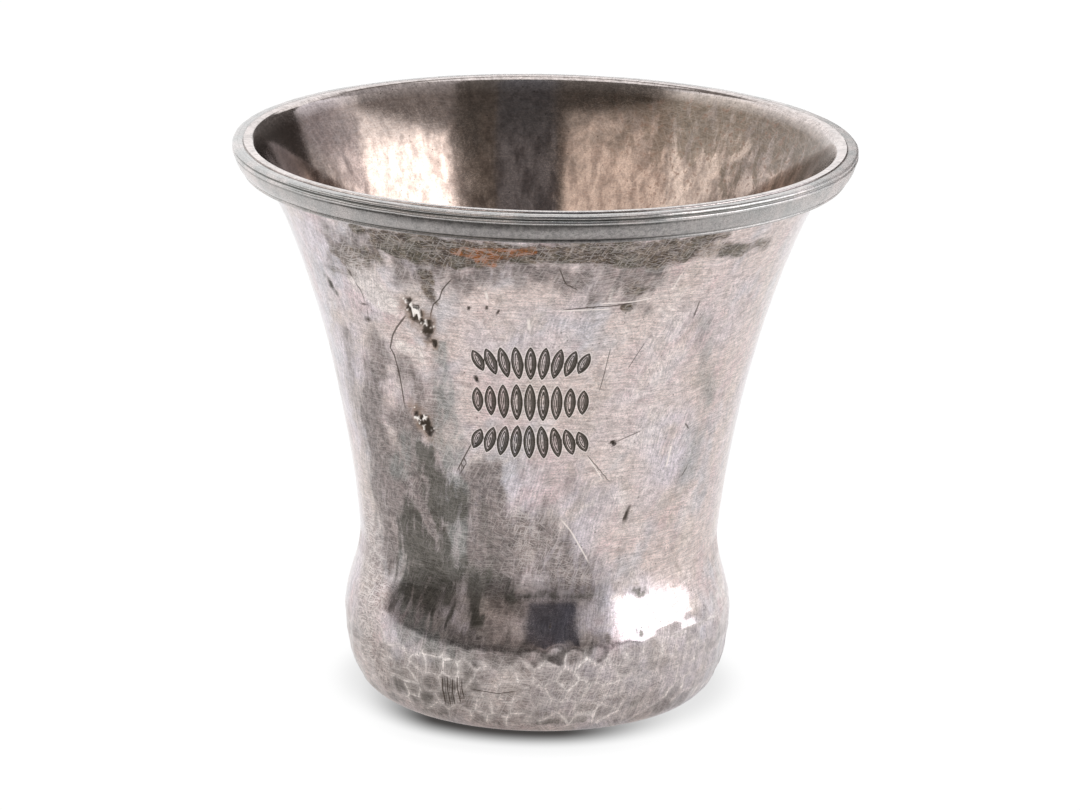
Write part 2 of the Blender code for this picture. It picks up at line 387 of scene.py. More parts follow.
# Tarnish, and one broad painted light: smears on the wall, each a strength and a line of (angle, height, half
# width)
DARK_SMEARS = (
    (1, ((-34, 38.9, 1.6), (-31, 36, 2.5), (-29, 33, 2.1))),
    (0.72, ((-47, 6, 2.4), (-36, 5.6, 3.2), (-24, 6.6, 2.4))),
    (0.85, ((-44.3, 30.2, 1.3), (-43.7, 25.8, 2), (-40.6, 21.6, 2.6), (-35.3, 19.2, 2.6))),
    (0.6, ((-23.8, 23.6, 1.6), (-15.3, 22, 1.8), (-8.2, 21.4, 1.4))),
    (0.7, ((-46, 24.5, 1.4), (-40, 22.5, 2.2), (-30, 22, 1.8))),
    (1, ((-36, 40.8, 0.9), (-33.8, 37.8, 1.7), (-31.8, 35.5, 1.9), (-31.2, 33, 1.4),
           (-31, 31, 1))),
    (0.7, ((-43.5, 31.5, 1.2), (-43, 27, 2), (-42, 21, 2.4), (-41, 18.5, 2))),
    (0.75, ((-47.8, 30.6, 0.5), (-47.7, 27.9, 0.84), (-47.5, 24.9, 0.84))),
    (1, ((-39.7, 30.3, 0.63), (-38.3, 27.4, 1.25), (-36, 24.3, 2.3), (-33.8, 21.5, 2.88),
           (-34.5, 19.4, 2.43))),
    (0.9, ((-31.1, 29.8, 0.75), (-29.8, 26.3, 1.18), (-27.3, 22.3, 1.17))),
    (0.45, ((-51.4, 23.2, 0.7), (-50.5, 19.1, 0.86), (-49.4, 16, 0.85))),
    (0.75, ((-21.4, 23.6, 1), (-19.6, 20.5, 1.6), (-18.5, 17.6, 0.9))),
    (0.35, ((-17.6, 35, 1.4), (-16.4, 30, 2), (-14.8, 26, 2))),
    (0.6, ((-25.4, 19, 0.44), (-27.2, 16.7, 0.44), (-28.8, 14.4, 0.29))),
    (0.55, ((-41.6, 4.8, 1.12), (-36.1, 4.8, 1.07))),
    (0.6, ((-57.6, 21.3, 0.57), (-57.8, 20.4, 0.57))),
    (0.95, ((0.9, 2, 0.34), (7.7, 2.3, 0.48), (15.2, 2.6, 0.35))),
    (0.8, ((30.1, 4.1, 0.59), (31.8, 4.1, 0.6))),
    (0.5, ((-12.1, 20.3, 0.42), (1.9, 21.1, 0.55), (19.3, 20.8, 0.43))),
    (0.8, ((30.7, 20.7, 0.45), (35.6, 20.4, 0.46))),
    (0.9, ((31.6, 15.1, 0.45), (32.8, 14.5, 0.45))),
    (0.85, ((-60.4, 63.8, 0.5), (-58.4, 62.1, 0.5))),
    (0.6, ((150, 38, 2.5), (154, 30, 4.5), (151, 24, 4))),
    (0.55, ((-118, 32, 3), (-121, 24, 4.5))),
    (0.4, ((95, 23, 3), (98, 18, 3))),
    (0.4, ((-160, 50, 3), (-163, 42, 4.5))),
)
VEIL_SMEARS = (
    (0.8, ((-56.2, 46.9, 1.66), (-57.6, 39.9, 2.64), (-55.3, 34.2, 3.29), (-54.7, 28.3, 2.6),
           (-54.2, 22.3, 1.8))),
    (0.9, ((-39.2, 43.6, 2.5), (-35.5, 37.9, 3.2), (-35.4, 30.4, 3.9), (-38.5, 22.6, 4.2),
           (-38, 20, 3))),
    (1.2, ((-17.6, 37.8, 2.2), (-16.3, 31.8, 3.4), (-14.7, 25.8, 4), (-11.5, 21.5, 2.8))),
    (1.1, ((-47.7, 6.2, 2.6), (-33.7, 6.2, 3.2), (-22.1, 7, 2.6))),
    (0.6, ((-17.5, 3.5, 1.98), (0.9, 3.4, 1.66), (19.3, 3.7, 1.42))),
    (0.7, ((-30, 69, 2.6), (-18, 69.2, 2.4), (-5, 70.6, 1.8), (8, 69.6, 2.2), (22, 68.6, 2.8))),
    (0.6, ((-52, 71, 1.6), (-40, 71, 2))),
    (1.2, ((-57, 43, 2.2), (-53, 38.2, 3.4), (-49.3, 34, 3.4), (-44.8, 30.1, 2.8))),
    (0.9, ((-40, 44, 2), (-38, 38, 3), (-38, 30, 4), (-36, 22, 4.6))),
    (0.8, ((-44.4, 55.6, 1.6), (-50.5, 48.9, 2.4), (-55.3, 42.9, 2.4))),
    (0.5, ((-39.6, 18.1, 3.46), (-35.9, 14.3, 3.98), (-33.2, 11, 3.62))),
    (0.95, ((-18.6, 33.8, 1.42), (-17.1, 29.4, 2.26), (-14.8, 25, 2.81), (-10.6, 21.5, 2.5))),
    (0.8, ((-20.5, 14.1, 2.85), (-8.2, 13, 1.94), (6.4, 13.1, 1.38), (18.5, 14.2, 0.85))),
    (0.95, ((-45, 6.7, 2.62), (-30, 6.1, 2.96), (-17, 7.1, 1.97))),
    (0.7, ((-4, 31, 3.4), (3.9, 27.2, 4), (9.4, 24.1, 3.6), (16.1, 22.2, 2.81))),
    (0.35, ((-5.9, 39.8, 1.66), (5.5, 38.3, 1.94), (17.7, 35, 1.98))),
    (0.6, ((12.3, 67.1, 2.51), (19.4, 65.9, 2.56), (24.4, 65.3, 1.45))),
    (0.6, ((-38, 53.5, 2), (-33.6, 50.3, 3), (-31.6, 45.5, 2.6))),
    (0.45, ((18.7, 5.7, 2.83), (32.8, 3.7, 2.71), (48.3, 4.6, 1.69))),
    (0.5, ((-59.4, 56.2, 1.16), (-63.1, 48.2, 1.64), (-65, 41.9, 1.7))),
    (0.4, ((0.8, 6.1, 3.45), (-11.2, 3.8, 2.51))),
    (0.8, ((-16.8, 53.5, 0.28), (-16.4, 52.9, 0.28))),
    (0.6, ((165, 30, 9), (172, 16, 11))),
    (0.5, ((-92, 60, 5), (-90, 46, 8))),
    (0.6, ((110, 8, 5), (150, 10, 6))),
    (0.6, ((-105, 8, 5), (-150, 10, 6))),
    (0.5, ((135, 62, 7), (150, 58, 8))),
)
BLUE_SMEARS = (
    (0.9, ((-47.8, 23.7, 1.01), (-46.6, 20.3, 1.33), (-44.8, 16.8, 1.31))),
    (0.6, ((-49.7, 37.6, 2.06), (-36.3, 41.2, 2.15), (-26.1, 42.5, 2.04))),
    (0.5, ((18.1, 71.2, 1.3), (25.8, 71, 1.3))),
    (0.7, ((-25.7, 57.4, 1.02), (-26.4, 52.4, 1.31), (-26.2, 48.2, 1.46), (-26.4, 44, 2.33),
           (-25.9, 40.3, 2.04))),
    (0.95, ((-24.7, 35.8, 1.3), (-24.9, 29.7, 1.74), (-26.8, 24.7, 1.46))),
    (0.7, ((-46.3, 24, 0.83), (-45.9, 19.6, 1.16), (-43.7, 16.3, 1.3))),
    (0.7, ((-41.4, 13.5, 2.87), (-30.2, 13.4, 3.26), (-25, 12.4, 2.61))),
    (0.5, ((42.7, 60.6, 1.61), (47.6, 54, 2.35), (50.1, 47.7, 2.07), (49.1, 37.2, 2.73))),
    (0.6, ((128, 52, 3), (131, 40, 4))),
)
CRUST_SMEARS = (
    (1, ((-37.3, 73, 0.9), (-28.8, 72.4, 1.5), (-20.7, 72, 1.8), (-14.9, 72.4, 1.5),
           (-8.9, 73.1, 1.2))),
    (0.8, ((-42, 74, 0.6), (-20, 74, 0.9), (0, 74, 0.8), (25, 74, 1), (40, 74, 0.6))),
    (0.8, ((-26, 67.8, 1.31), (-26.6, 65.1, 1.17))),
    (1, ((-16, 73.4, 0.6), (-4.8, 73.2, 0.8), (3.2, 73, 0.9), (11.4, 72.5, 1.1), (20.2, 72, 1.4),
           (24.6, 71.9, 1.3), (31.4, 72.2, 1.1))),
    (0.55, ((19.3, 68, 1.14), (21.9, 67, 0.86))),
    (0.7, ((33.7, 72.2, 1.21), (43.4, 71.8, 1.13), (55.1, 71, 0.91))),
    (0.55, ((-54.8, 67, 1.82), (-40, 69.7, 1.89))),
    (1, ((18.6, 64.4, 0.5), (19.8, 64.3, 0.5))),
    (0.9, ((21.3, 67, 0.3), (21.7, 66.7, 0.3))),
    (0.7, ((80, 72, 1.2), (110, 71.6, 2.2), (135, 71.2, 2.6))),
    (0.7, ((160, 72.6, 1.3), (-170, 72.4, 1.6), (-145, 72, 2.4))),
    (0.6, ((-110, 72.2, 2), (-85, 72.8, 1))),
)
ORANGE_SMEARS = (
    (1.3, ((-18.7, 72.9, 0.4), (-11.9, 73.2, 0.6), (-2.4, 73.3, 0.55))),
    (1.2, ((-12.6, 71.8, 0.75), (-10.4, 71.4, 0.5))),
    (0.5, ((-15.2, 72.2, 0.56), (-7.3, 72.4, 0.69))),
)
PALE_SMEARS = (
    (1.6, ((-45.3, 66.2, 1.8), (-41, 64.9, 2.2), (-38.3, 63.6, 1.6))),
    (0.8, ((-36.3, 56.7, 1.38), (-32.9, 56.1, 1.51))),
    (0.6, ((-71.1, 20.1, 1.94), (-60.8, 15.7, 1.98), (-58.3, 10.2, 1.52))),
    (0.5, ((-62.4, 30.3, 1.01), (-59.1, 26.2, 1.16))),
    (0.6, ((12.6, 33.9, 1.4), (15.2, 35.1, 1.26))),
    (1, ((15.1, 67.7, 0.35), (15, 66, 0.35))),
    (0.45, ((32.3, 64.7, 2.1), (33.3, 60, 2.72), (33.4, 53.9, 2.42))),
    (0.45, ((51.6, 32.3, 1.75), (55.9, 22.8, 2.21))),
    # Broad painted light over the right of the flare
    (0.40, ((26, 64, 6), (30, 48, 7), (28, 32, 6))),
)
# Brownish places crowded with fine scratches
GRAINY_SMEARS = (
    (1, ((-66.1, 26.8, 2.2), (-65.9, 20.8, 3), (-62, 15.5, 3.2), (-58.3, 10.2, 2.7),
           (-54.7, 6.2, 2.2))),
    (0.4, ((-40, 8, 2), (-30, 6.1, 3), (-5.1, 6, 3.3), (18.6, 6.5, 3.4), (46.3, 9.5, 3.6))),
    (0.5, ((-12, 33, 2.5), (0, 27, 3), (12, 23, 2.5))),
    (0.5, ((-52, 69, 2.5), (-44, 66, 2.5))),
    (0.6, ((120, 14, 6), (170, 12, 7))),
)
SMEARS = {"dark_patina": DARK_SMEARS, "brown_crust": CRUST_SMEARS, "orange_stain": ORANGE_SMEARS,
          "blue_film": BLUE_SMEARS, "veil": VEIL_SMEARS, "pale": PALE_SMEARS, "grainy": GRAINY_SMEARS}


def smear_field(angle, height, smears, points, seed):
    """Soft cover of a list of smears, with wandering edges."""
    cover = np.zeros(angle.shape)
    wander = 0.22 * cloud(points, 4.0, seed, 4)
    turned = 0.04 * cloud(points, 6.0, seed + 30, 3)
    raised = 1.3 * cloud(points, 6.0, seed + 60, 3)
    for strength, line in smears:
        bend = min(0.5 * line[0][2], 1.0)
        for _, _, first, second, step in segments(line):
            distance, share = segment_distance(angle + bend * turned, height + bend * raised,
                                               first, second, step)
            width = first[2] + (second[2] - first[2]) * share
            cover = np.maximum(cover, strength * smooth(np.abs(distance) / width + wander, 2.1, 0.1))
    return cover


# Meshes

# Degrees between mesh columns, and millimetres between mesh rows: low end, high end, step
COLUMN_STEPS = ((-20.5, 15.5, 0.33), (-45.0, 29.0, 0.46), (-math.inf, math.inf, 1.8))
ROW_STEPS = ((-math.inf, 16.5, 0.30), (40.8, 59.4, 0.19), (59.4, 66.5, 0.3), (-math.inf, math.inf, 0.85))
INNER_ROW_STEP = 1.5
RIM_COLUMN_STEP = 0.75
BASE_RINGS = (0.0001, 0.15, 0.3, 0.45, 0.6, 0.75, 0.88, 1.0)


def turned_points(radius, height, angles):
    """Rings of points, or of directions: one ring for each radius and height."""
    radius, height = np.asarray(radius)[:, None], np.asarray(height)[:, None]
    parts = np.broadcast_arrays(radius * np.sin(angles), -radius * np.cos(angles), height)
    return np.stack(parts, axis=-1)


def bridge(lower, upper):
    """Faces between two rings of vertex numbers, where the second may have half as many."""
    beside = np.roll(lower, -1)
    if len(upper) == len(lower):
        return np.column_stack((lower, beside, np.roll(upper, -1), upper)).tolist()
    first, middle, last = lower[0::2], lower[1::2], np.roll(lower[0::2], -1)
    after = np.roll(upper, -1)
    faces = np.column_stack((first, middle, upper)).tolist()
    faces += np.column_stack((middle, after, upper)).tolist()
    faces += np.column_stack((middle, last, after)).tolist()
    return faces


def flipped(faces):
    return [face[::-1] for face in faces]


def make_mesh(name, points_mm, faces, fields, material):
    """A smooth-shaded object from points in millimetres, with named point fields."""
    mesh = bpy.data.meshes.new(name)
    mesh.from_pydata((points_mm * MM).tolist(), [], faces)
    mesh.update()
    for field, values in fields.items():
        layer = mesh.attributes.new(field, "FLOAT", "POINT")
        layer.data.foreach_set("value", np.asarray(values, np.float32))
    mesh.shade_smooth()
    mesh.materials.append(material)
    item = bpy.data.objects.new(name, mesh)
    bpy.context.scene.collection.objects.link(item)
    return item


def step_at(place, steps):
    """The step of the first range that holds the place."""
    return next(step for low, high, step in steps if low < place < high)


def column_angles():
    """Angles of the mesh columns, closest together over the engraving and the cracks."""
    def spacing(place):
        return step_at((place + 180.0 + 180.0) % 360.0 - 180.0, COLUMN_STEPS)
    angles = np.radians((stations(360.0, spacing) + 180.0)[:-1])
    if len(angles) % 2:
        angles = np.delete(angles, 3)
    return wrapped(angles)


def wall_rows():
    """Lengths along the outside of the wall of the mesh rows."""
    def spacing(place):
        return step_at(np.interp(place, WALL_LINE.lengths, WALL_LINE.points[:, 1]), ROW_STEPS)
    return stations(WALL_LINE.total, spacing)


def dents(points):
    """Slow unevenness of hand-raised metal."""
    return 0.05 * cloud(points, 18.0, 3, 2) + 0.012 * cloud(points, 4.0, 8, 2)


def corrosion(angle, level, base):
    """Lift of the pits and clusters, their dark hollows, bright flakes and stained surround."""
    lift, hole, bright, halo = (np.zeros(len(base)) for _ in range(4))
    ragged = 0.16 * cloud(base, 0.9, 21, 2)
    for pit in PITS:
        reach = oval_distance(angle, level, pit) + ragged
        lift -= pit["depth"] * smooth(reach, 1.1, 0.35)
        lift += 0.03 * smooth(np.abs(reach - 1.25), 0.35, 0.0)
        hole = np.maximum(hole, smooth(reach, 1.15, 0.6))
    for seed, cluster in enumerate(CLUSTERS):
        reach = oval_distance(angle, level, cluster) + 2.0 * ragged
        sunk = smooth(reach, 1.25, 0.75)
        flakes = cloud(base * (1.0, 1.0, 0.65), 0.62, 40 + seed, 2)
        blister = smooth(flakes, 0.05, 0.55) * smooth(reach, 1.4, 1.0)
        lift += 0.08 * smooth(reach, 2.2, 1.0) - 0.16 * sunk * (1.0 - blister) + 0.07 * blister
        hole = np.maximum(hole, sunk * (1.0 - smooth(blister, 0.30, 0.55)))
        bright = np.maximum(bright, smooth(blister, 0.40, 0.65))
        halo = np.maximum(halo, smooth(reach, 2.4, 1.0))
    return lift, hole, bright, halo


def outside_wall(columns):
    """The marked outside of the wall: its rings of points, and its fields."""
    rows = wall_rows()
    radius, height, out_r, out_z = WALL_LINE.at(rows)
    base = turned_points(radius, height, columns).reshape(-1, 3)
    normal = turned_points(out_r, out_z, columns).reshape(-1, 3)
    angle = np.tile(columns, len(rows))
    level = np.repeat(height, len(columns))
    length = np.repeat(rows, len(columns))

    held = smooth(length, 0.0, 2.5) * smooth(level, HEIGHT, HEIGHT - 3.0)
    hammering, ridge, slope, bowl_tone = hammer_field(angle, length, level, base)
    leaf_gap, leaf_side = engraving_fields(angle, level)
    lift, hole, bright, halo = corrosion(angle, level, base)
    lift += dents(base) * held + hammering - STROKE_DEPTH * smooth(leaf_gap, 0.05, -0.55)
    for line, width, depth in CUTS:
        gap, place = line_distance(angle, level, line)
        lift -= depth * smooth(np.abs(gap), 2.0 * width, 0.3 * width) * tapered(place)
    fields = {"leaf_gap": 1.0 - leaf_gap, "leaf_side": leaf_side, "hole": hole, "bright_metal": bright,
              "halo": halo, "ridge": ridge, "slope": slope, "bowl_tone": bowl_tone,
              "hammered": smooth(level, 14.0, 9.0)}
    fields["cut_gap"], fields["cut_cover"] = fine_lines(angle, level, CUTS)
    fields["scuff_gap"], fields["scuff_cover"] = fine_lines(angle, level, SCUFFS)
    for seed, (name, smears) in enumerate(SMEARS.items()):
        fields[name] = smear_field(angle, level, smears, base, 51 + seed)
    points = base + normal * lift[:, None]
    return points.reshape(len(rows), len(columns), 3), fields


def inside_wall(columns):
    """Rings from the lip down: the outside set back by the wall, following its dents."""
    rows = stations(WALL_LINE.total, lambda place: INNER_ROW_STEP)[::-1]
    radius, height, out_r, out_z = WALL_LINE.at(rows)
    radius, height = radius - WALL * out_r, height - WALL * out_z
    radius = radius - LIP_ROLL * 0.26 * smooth(height, HEIGHT - 12.0, HEIGHT)
    keep = (height < HEIGHT - 0.6 * LIP_ROLL) & (height > BASE_THICKNESS + 0.05)
    inside = turned_points(radius[keep], height[keep], columns).reshape(-1, 3)
    normal = turned_points(out_r[keep], out_z[keep], columns).reshape(-1, 3)
    held = smooth(inside[:, 2], HEIGHT, HEIGHT - 3.0) * smooth(inside[:, 2], 1.0, 3.0)
    inside = inside + normal * (dents(inside) * held)[:, None]
    return inside.reshape(-1, len(columns), 3)


def lip_profile():
    """The rolled lip, from the moulding's seam over to the inside of the wall."""
    line = WALL_LINE.points - WALL * WALL_LINE.normals
    inner = float(np.interp(HEIGHT, line[:, 1], line[:, 0])) + LIP_ROLL * 0.24
    turns = np.radians(np.linspace(0.0, 90.0 - math.degrees(LIP_LEAN), 7))
    return [(LIP_RADIUS - 0.12, HEIGHT - 0.05)] + [
        (inner - LIP_ROLL * math.sin(turn), HEIGHT - LIP_ROLL * (1.0 - math.cos(turn))) for turn in turns]


def make_body(material):
    """The raised vessel, one closed mesh: underside, outside, lip, inside, floor."""
    columns = column_angles()
    coarse = columns[::2]
    outside, outside_fields = outside_wall(columns)
    ring_inner = FOOT_RADIUS - FOOT_RING_WIDTH

    def rings_of(profile, angles):
        return turned_points(*np.array(profile).T, angles)

    def dished(lift, shares):
        profile = [(ring_inner * share, lift + BASE_RISE * (1.0 - share ** 2)) for share in shares]
        return rings_of(profile, coarse)

    foot = rings_of([(ring_inner + 0.3, 0.0), (FOOT_RADIUS - 0.9, 0.0)], columns)
    blocks = [dished(0.0, BASE_RINGS), foot, outside, rings_of(lip_profile(), columns), inside_wall(coarse),
              dished(BASE_THICKNESS, BASE_RINGS[::-1])]
    starts = np.cumsum([0] + [block.shape[0] * block.shape[1] for block in blocks])
    points = np.concatenate([block.reshape(-1, 3) for block in blocks])
    rings = [start + np.arange(block.shape[0] * block.shape[1]).reshape(block.shape[:2])
             for start, block in zip(starts, blocks)]
    rings = [ring for block in rings for ring in block]
    faces = []
    for lower, upper in zip(rings, rings[1:]):
        faces += bridge(lower, upper) if len(lower) >= len(upper) else flipped(bridge(upper, lower))
    faces += [rings[0][::-1].tolist(), rings[-1].tolist()]

    fields = {"lip": smooth(points[:, 2], HEIGHT - 1.3, HEIGHT - 0.5), "interior": np.zeros(len(points))}
    fields["interior"][starts[4]:] = 1.0
    for name, values in outside_fields.items():
        fields[name] = np.zeros(len(points))
        fields[name][starts[2]:starts[3]] = values
    return make_mesh("body_silver", points, faces, fields, material)


def rim_outline():
    """Closed outline of the moulding: seam, edge bead, swelling band, lower bead, solder."""
    top, bottom, edge = RIM_TOP, RIM_BOTTOM, RIM_RADIUS

    def bead(radius, height, size, start, end, steps):
        turns = np.radians(np.linspace(start, end, steps))
        return [(radius + size * math.cos(turn), height + size * math.sin(turn)) for turn in turns]

    outline = [(LIP_RADIUS - 0.30, top - 0.16), (LIP_RADIUS + 0.04, top - 0.12),
               (LIP_RADIUS + 0.18, top - 0.03), (edge - 0.95, top - 0.01), (edge - REED_IN, top - 0.03),
               (edge - 0.65, top - 0.01)]
    outline += bead(edge - 0.44, top - 0.44, 0.40, 100.0, -10.0, 8)
    outline += [(edge - 0.20, top - 0.60), (edge - 0.22, top - 0.76)]
    outline += bead(edge - 0.30, top - 1.06, 0.27, 62.0, -55.0, 7)
    outline += [(edge - 0.25, top - 1.38)]
    start = np.array((edge - 0.22, top - 1.46))
    end = np.array((edge - EDGE_TO_BEAD + 0.20, bottom + 0.62))
    for share in np.linspace(0.0, 1.0, 12):
        bulge = BAND_SWELL * 4.0 * share * (1.0 - share)
        outline.append(tuple(start + (end - start) * share + bulge * np.array(BAND_OUTWARD)))
    outline += [(end[0] - 0.16, end[1] - 0.12)]
    outline += bead(edge - EDGE_TO_BEAD - 0.24, bottom + 0.27, 0.26, 55.0, -90.0, 8)
    wall = float(WALL_LINE.radius_at(bottom + 0.05))
    outline += [(wall + 1.15, bottom + 0.10), (wall + 0.8, bottom + 0.02), (wall + 0.30, bottom),
                (wall - RIM_BITE, bottom)]
    outline += [(float(WALL_LINE.radius_at(height)) - RIM_BITE, height)
                for height in np.linspace(bottom + 0.5, top - 0.9, 4)]
    return np.array(outline)


def make_rim(material):
    """The moulding, a closed ring with small nicks, wavering grooves and a solder line."""
    outline = rim_outline()
    columns = np.radians(np.arange(0.0, 360.0, RIM_COLUMN_STEP) - 180.0)
    base = turned_points(*outline.T, columns).reshape(-1, 3)
    outward = base * (1.0, 1.0, 0.0)
    outward /= np.linalg.norm(outward, axis=1)[:, None]
    radial, level = np.hypot(base[:, 0], base[:, 1]), base[:, 2]
    free = smooth(radial, LIP_RADIUS - 0.1, LIP_RADIUS + 0.3)
    lift = 0.035 * cloud(base, 9.0, 61, 2) + 0.02 * cloud(base, 1.4, 62, 2)
    points = base + outward * (lift * free)[:, None]
    points[:, 2] += 0.025 * cloud(base, 6.0, 63, 2) * free
    rings = list(np.arange(len(base)).reshape(len(outline), len(columns)))
    faces = []
    for lower, upper in zip(rings, rings[1:] + rings[:1]):
        faces += flipped(bridge(lower, upper))

    outer = radial > RIM_RADIUS - 0.6
    upper = smooth(np.abs(level - RIM_TOP + UPPER_GROOVE), 0.20, 0.08) * outer
    lower = smooth(np.abs(level - RIM_TOP + LOWER_GROOVE), 0.14, 0.06) * outer
    seam = smooth(np.abs(level - RIM_BOTTOM - SOLDER_SEAM), 0.14, 0.04) * (radial > LIP_RADIUS - 0.6)
    joint = smooth(radial, LIP_RADIUS + 0.26, LIP_RADIUS + 0.08) * (level > RIM_TOP - 0.5)
    reed = 0.25 * smooth(np.abs(radial - RIM_RADIUS + REED_IN), 0.10, 0.03) * (level > RIM_TOP - 0.2)
    # Painted shade along the moulding's underside, where it meets the wall
    under = 0.8 * smooth(level, RIM_BOTTOM + 0.12, RIM_BOTTOM + 0.04) * (radial > LIP_RADIUS - 2.0)
    groove = np.max((upper, 0.5 * lower, seam, 0.35 * joint, reed, under), axis=0)
    # The grooves are dark in front and fade towards the right
    turn = np.degrees(np.arctan2(base[:, 0], -base[:, 1]))
    groove = groove * (0.10 + 0.90 * smooth(turn + 12.0, 84.0, 40.0))
    turn = np.abs(turn)
    front = np.maximum(smooth(turn, 74.0, 10.0), 0.8 * smooth(np.abs(turn - 150.0), 26.0, 8.0))
    film = front * smooth(level, RIM_TOP - 1.2, RIM_TOP - 1.6) * (radial > LIP_RADIUS - 0.8)
    return make_mesh("rim_silver_moulding", points, faces, {"groove": groove, "film": film}, material)


# Materials

class Nodes:
    """Short-hand for building one node tree. Inputs are numbers, colours or other outputs."""

    def __init__(self, tree):
        self.tree = tree

    def add(self, kind, inputs=(), **settings):
        node = self.tree.nodes.new(kind)
        for name, value in settings.items():
            setattr(node, name, value)
        for key, value in dict(inputs).items():
            self.feed(value, node.inputs[key])
        return node

    def feed(self, value, socket):
        """Links an output to a socket, or sets the socket to a value."""
        if isinstance(value, bpy.types.NodeSocket):
            self.tree.links.new(value, socket)
        else:
            socket.default_value = value

    def math(self, operation, first, second=0.0, clamp=False):
        node = self.add("ShaderNodeMath", {0: first, 1: second}, operation=operation, use_clamp=clamp)
        return node.outputs[0]

    def times(self, first, second):
        return self.math("MULTIPLY", first, second)

    def plus(self, first, second):
        return self.math("ADD", first, second)

    def minus(self, first, second):
        return self.math("SUBTRACT", first, second)

    def larger(self, first, second):
        return self.math("MAXIMUM", first, second)

    def size(self, value):
        return self.math("ABSOLUTE", value)

    def rest(self, share):
        """What a share leaves of one."""
        return self.minus(1.0, share)

    def swing(self, noise, reach):
        """Noise moved to lie round zero, and stretched."""
        return self.times(self.minus(noise, 0.5), reach)

    def remap(self, value, low, high, to_low=0.0, to_high=1.0, kind="SMOOTHSTEP"):
        node = self.add("ShaderNodeMapRange", {"Value": value, "From Min": low, "From Max": high,
                                               "To Min": to_low, "To Max": to_high}, interpolation_type=kind)
        return node.outputs["Result"]

    def mix(self, factor, first, second, blend="MIX"):
        node = self.add("ShaderNodeMix", data_type="RGBA", blend_type=blend)
        for index, value in ((0, factor), (6, first), (7, second)):
            self.feed((*value, 1.0) if isinstance(value, tuple) else value, node.inputs[index])
        return node.outputs[2]

    def between(self, noise, low, high, pair):
        """One of two colours, or a blend of them, as the noise goes from low to high."""
        return self.mix(self.remap(noise, low, high), *pair)

    def lay(self, colour, cover, amount, over):
        """A film over a colour, at most as dense as the amount."""
        return self.mix(self.times(cover, amount), colour, over)

    def mottled(self, colour, noise, low, high, dark, light):
        """A colour made darker and lighter by a noise."""
        tone = self.between(noise, low, high, ((dark,) * 3, (light,) * 3))
        return self.mix(1.0, colour, tone, "MULTIPLY")

    def noise(self, vector, scale, detail=3.0, roughness=0.55, distortion=0.0, dimensions="3D"):
        node = self.add("ShaderNodeTexNoise", {"Vector": vector, "Scale": scale, "Detail": detail,
                                               "Roughness": roughness, "Distortion": distortion},
                        noise_dimensions=dimensions)
        return node.outputs["Fac"]

    def field(self, name):
        return self.add("ShaderNodeAttribute", attribute_name=name).outputs["Fac"]

    def parts(self, vector):
        return self.add("ShaderNodeSeparateXYZ", {0: vector}).outputs

    def stretch(self, vector, turn, sizes):
        """Coordinates along turned axes, in units of the given sizes, for streaks."""
        node = self.add("ShaderNodeMapping", {"Vector": vector, "Rotation": turn, "Scale": sizes},
                        vector_type="TEXTURE")
        return node.outputs["Vector"]

    def streaks(self, flat, slant, length, width, detail, roughness, distortion=0.0):
        """Noise drawn out along a slant on the unrolled wall."""
        vector = self.stretch(flat, (0.0, 0.0, slant), (length, width, 1.0))
        return self.noise(vector, 1.0, detail, roughness, distortion, "2D")

    def bump(self, surface, relief, strength):
        node = self.add("ShaderNodeBump", {"Height": relief, "Strength": strength, "Distance": BUMP_DEPTH})
        self.feed(node.outputs["Normal"], surface.inputs["Normal"])


def new_material(name, metallic=0.0):
    material = bpy.data.materials.new(name)
    material.use_nodes = True
    nodes = Nodes(material.node_tree)
    surface = material.node_tree.nodes["Principled BSDF"]
    surface.inputs["Metallic"].default_value = metallic
    return material, nodes, surface


def millimetres(nodes):
    """Object coordinates in millimetres."""
    place = nodes.add("ShaderNodeTexCoord").outputs["Object"]
    return nodes.add("ShaderNodeVectorMath", {0: place, "Scale": 1.0 / MM}, operation="SCALE").outputs[0]


def unrolled(nodes, place):
    """The wall laid flat: millimetres round it and up it. The base keeps its own plane."""
    parts = nodes.parts(place)
    turn = nodes.math("ARCTAN2", parts[0], nodes.times(parts[1], -1.0))
    around = nodes.times(turn, WAIST_RADIUS)
    flat = nodes.add("ShaderNodeCombineXYZ", {0: around, 1: parts[2]}).outputs[0]
    base = nodes.math("LESS_THAN", parts[2], BASE_THICKNESS + BASE_RISE + 0.1)
    return nodes.mix(base, flat, place)


BUMP_DEPTH = 0.00003
PALE_SLANTS = (0.30, -0.60, 1.15, 0.02)
DARK_SLANTS = (0.75, -0.25, -1.20)

# Colours of the metal and of what lies on it; a pair is mottled from one to the other
WARM_SILVER = (0.70, 0.585, 0.55)
COOL_SILVER = (0.695, 0.635, 0.685)
CLOUD_TINTS = ((0.16, (0.66, 0.50, 0.50)), (0.13, (0.56, 0.57, 0.615)), (0.19, (0.62, 0.53, 0.47)))
DULLED = ((0.36, 0.31, 0.30), (0.44, 0.37, 0.36))
VEIL = ((0.155, 0.130, 0.123), (0.27, 0.228, 0.218))
BLUE_FILM = (0.235, 0.245, 0.235)
PALE_FILM_AND_PAINTED_LIGHT = (0.86, 0.79, 0.75)
OLIVE = ((0.080, 0.076, 0.064), (0.135, 0.128, 0.114))
CRUST = ((0.055, 0.038, 0.024), (0.142, 0.106, 0.073))
GREEN_CRUST = (0.11, 0.105, 0.075)
CRUST_GLINT = (0.62, 0.55, 0.48)
ORANGE = ((0.40, 0.13, 0.03), (0.13, 0.075, 0.04))
BAND_DULLNESS = (0.30, 0.265, 0.25)
BOWL_DULLNESS = (0.18, 0.16, 0.148)
# Painted highlights: lighter slopes and brighter ridges of the hammer bowls
BOWL_SIDE_HIGHLIGHT = (0.76, 0.69, 0.66)
BOWL_RIDGE_HIGHLIGHT = (0.94, 0.88, 0.84)
GRAINY_BROWN = (0.34, 0.28, 0.26)
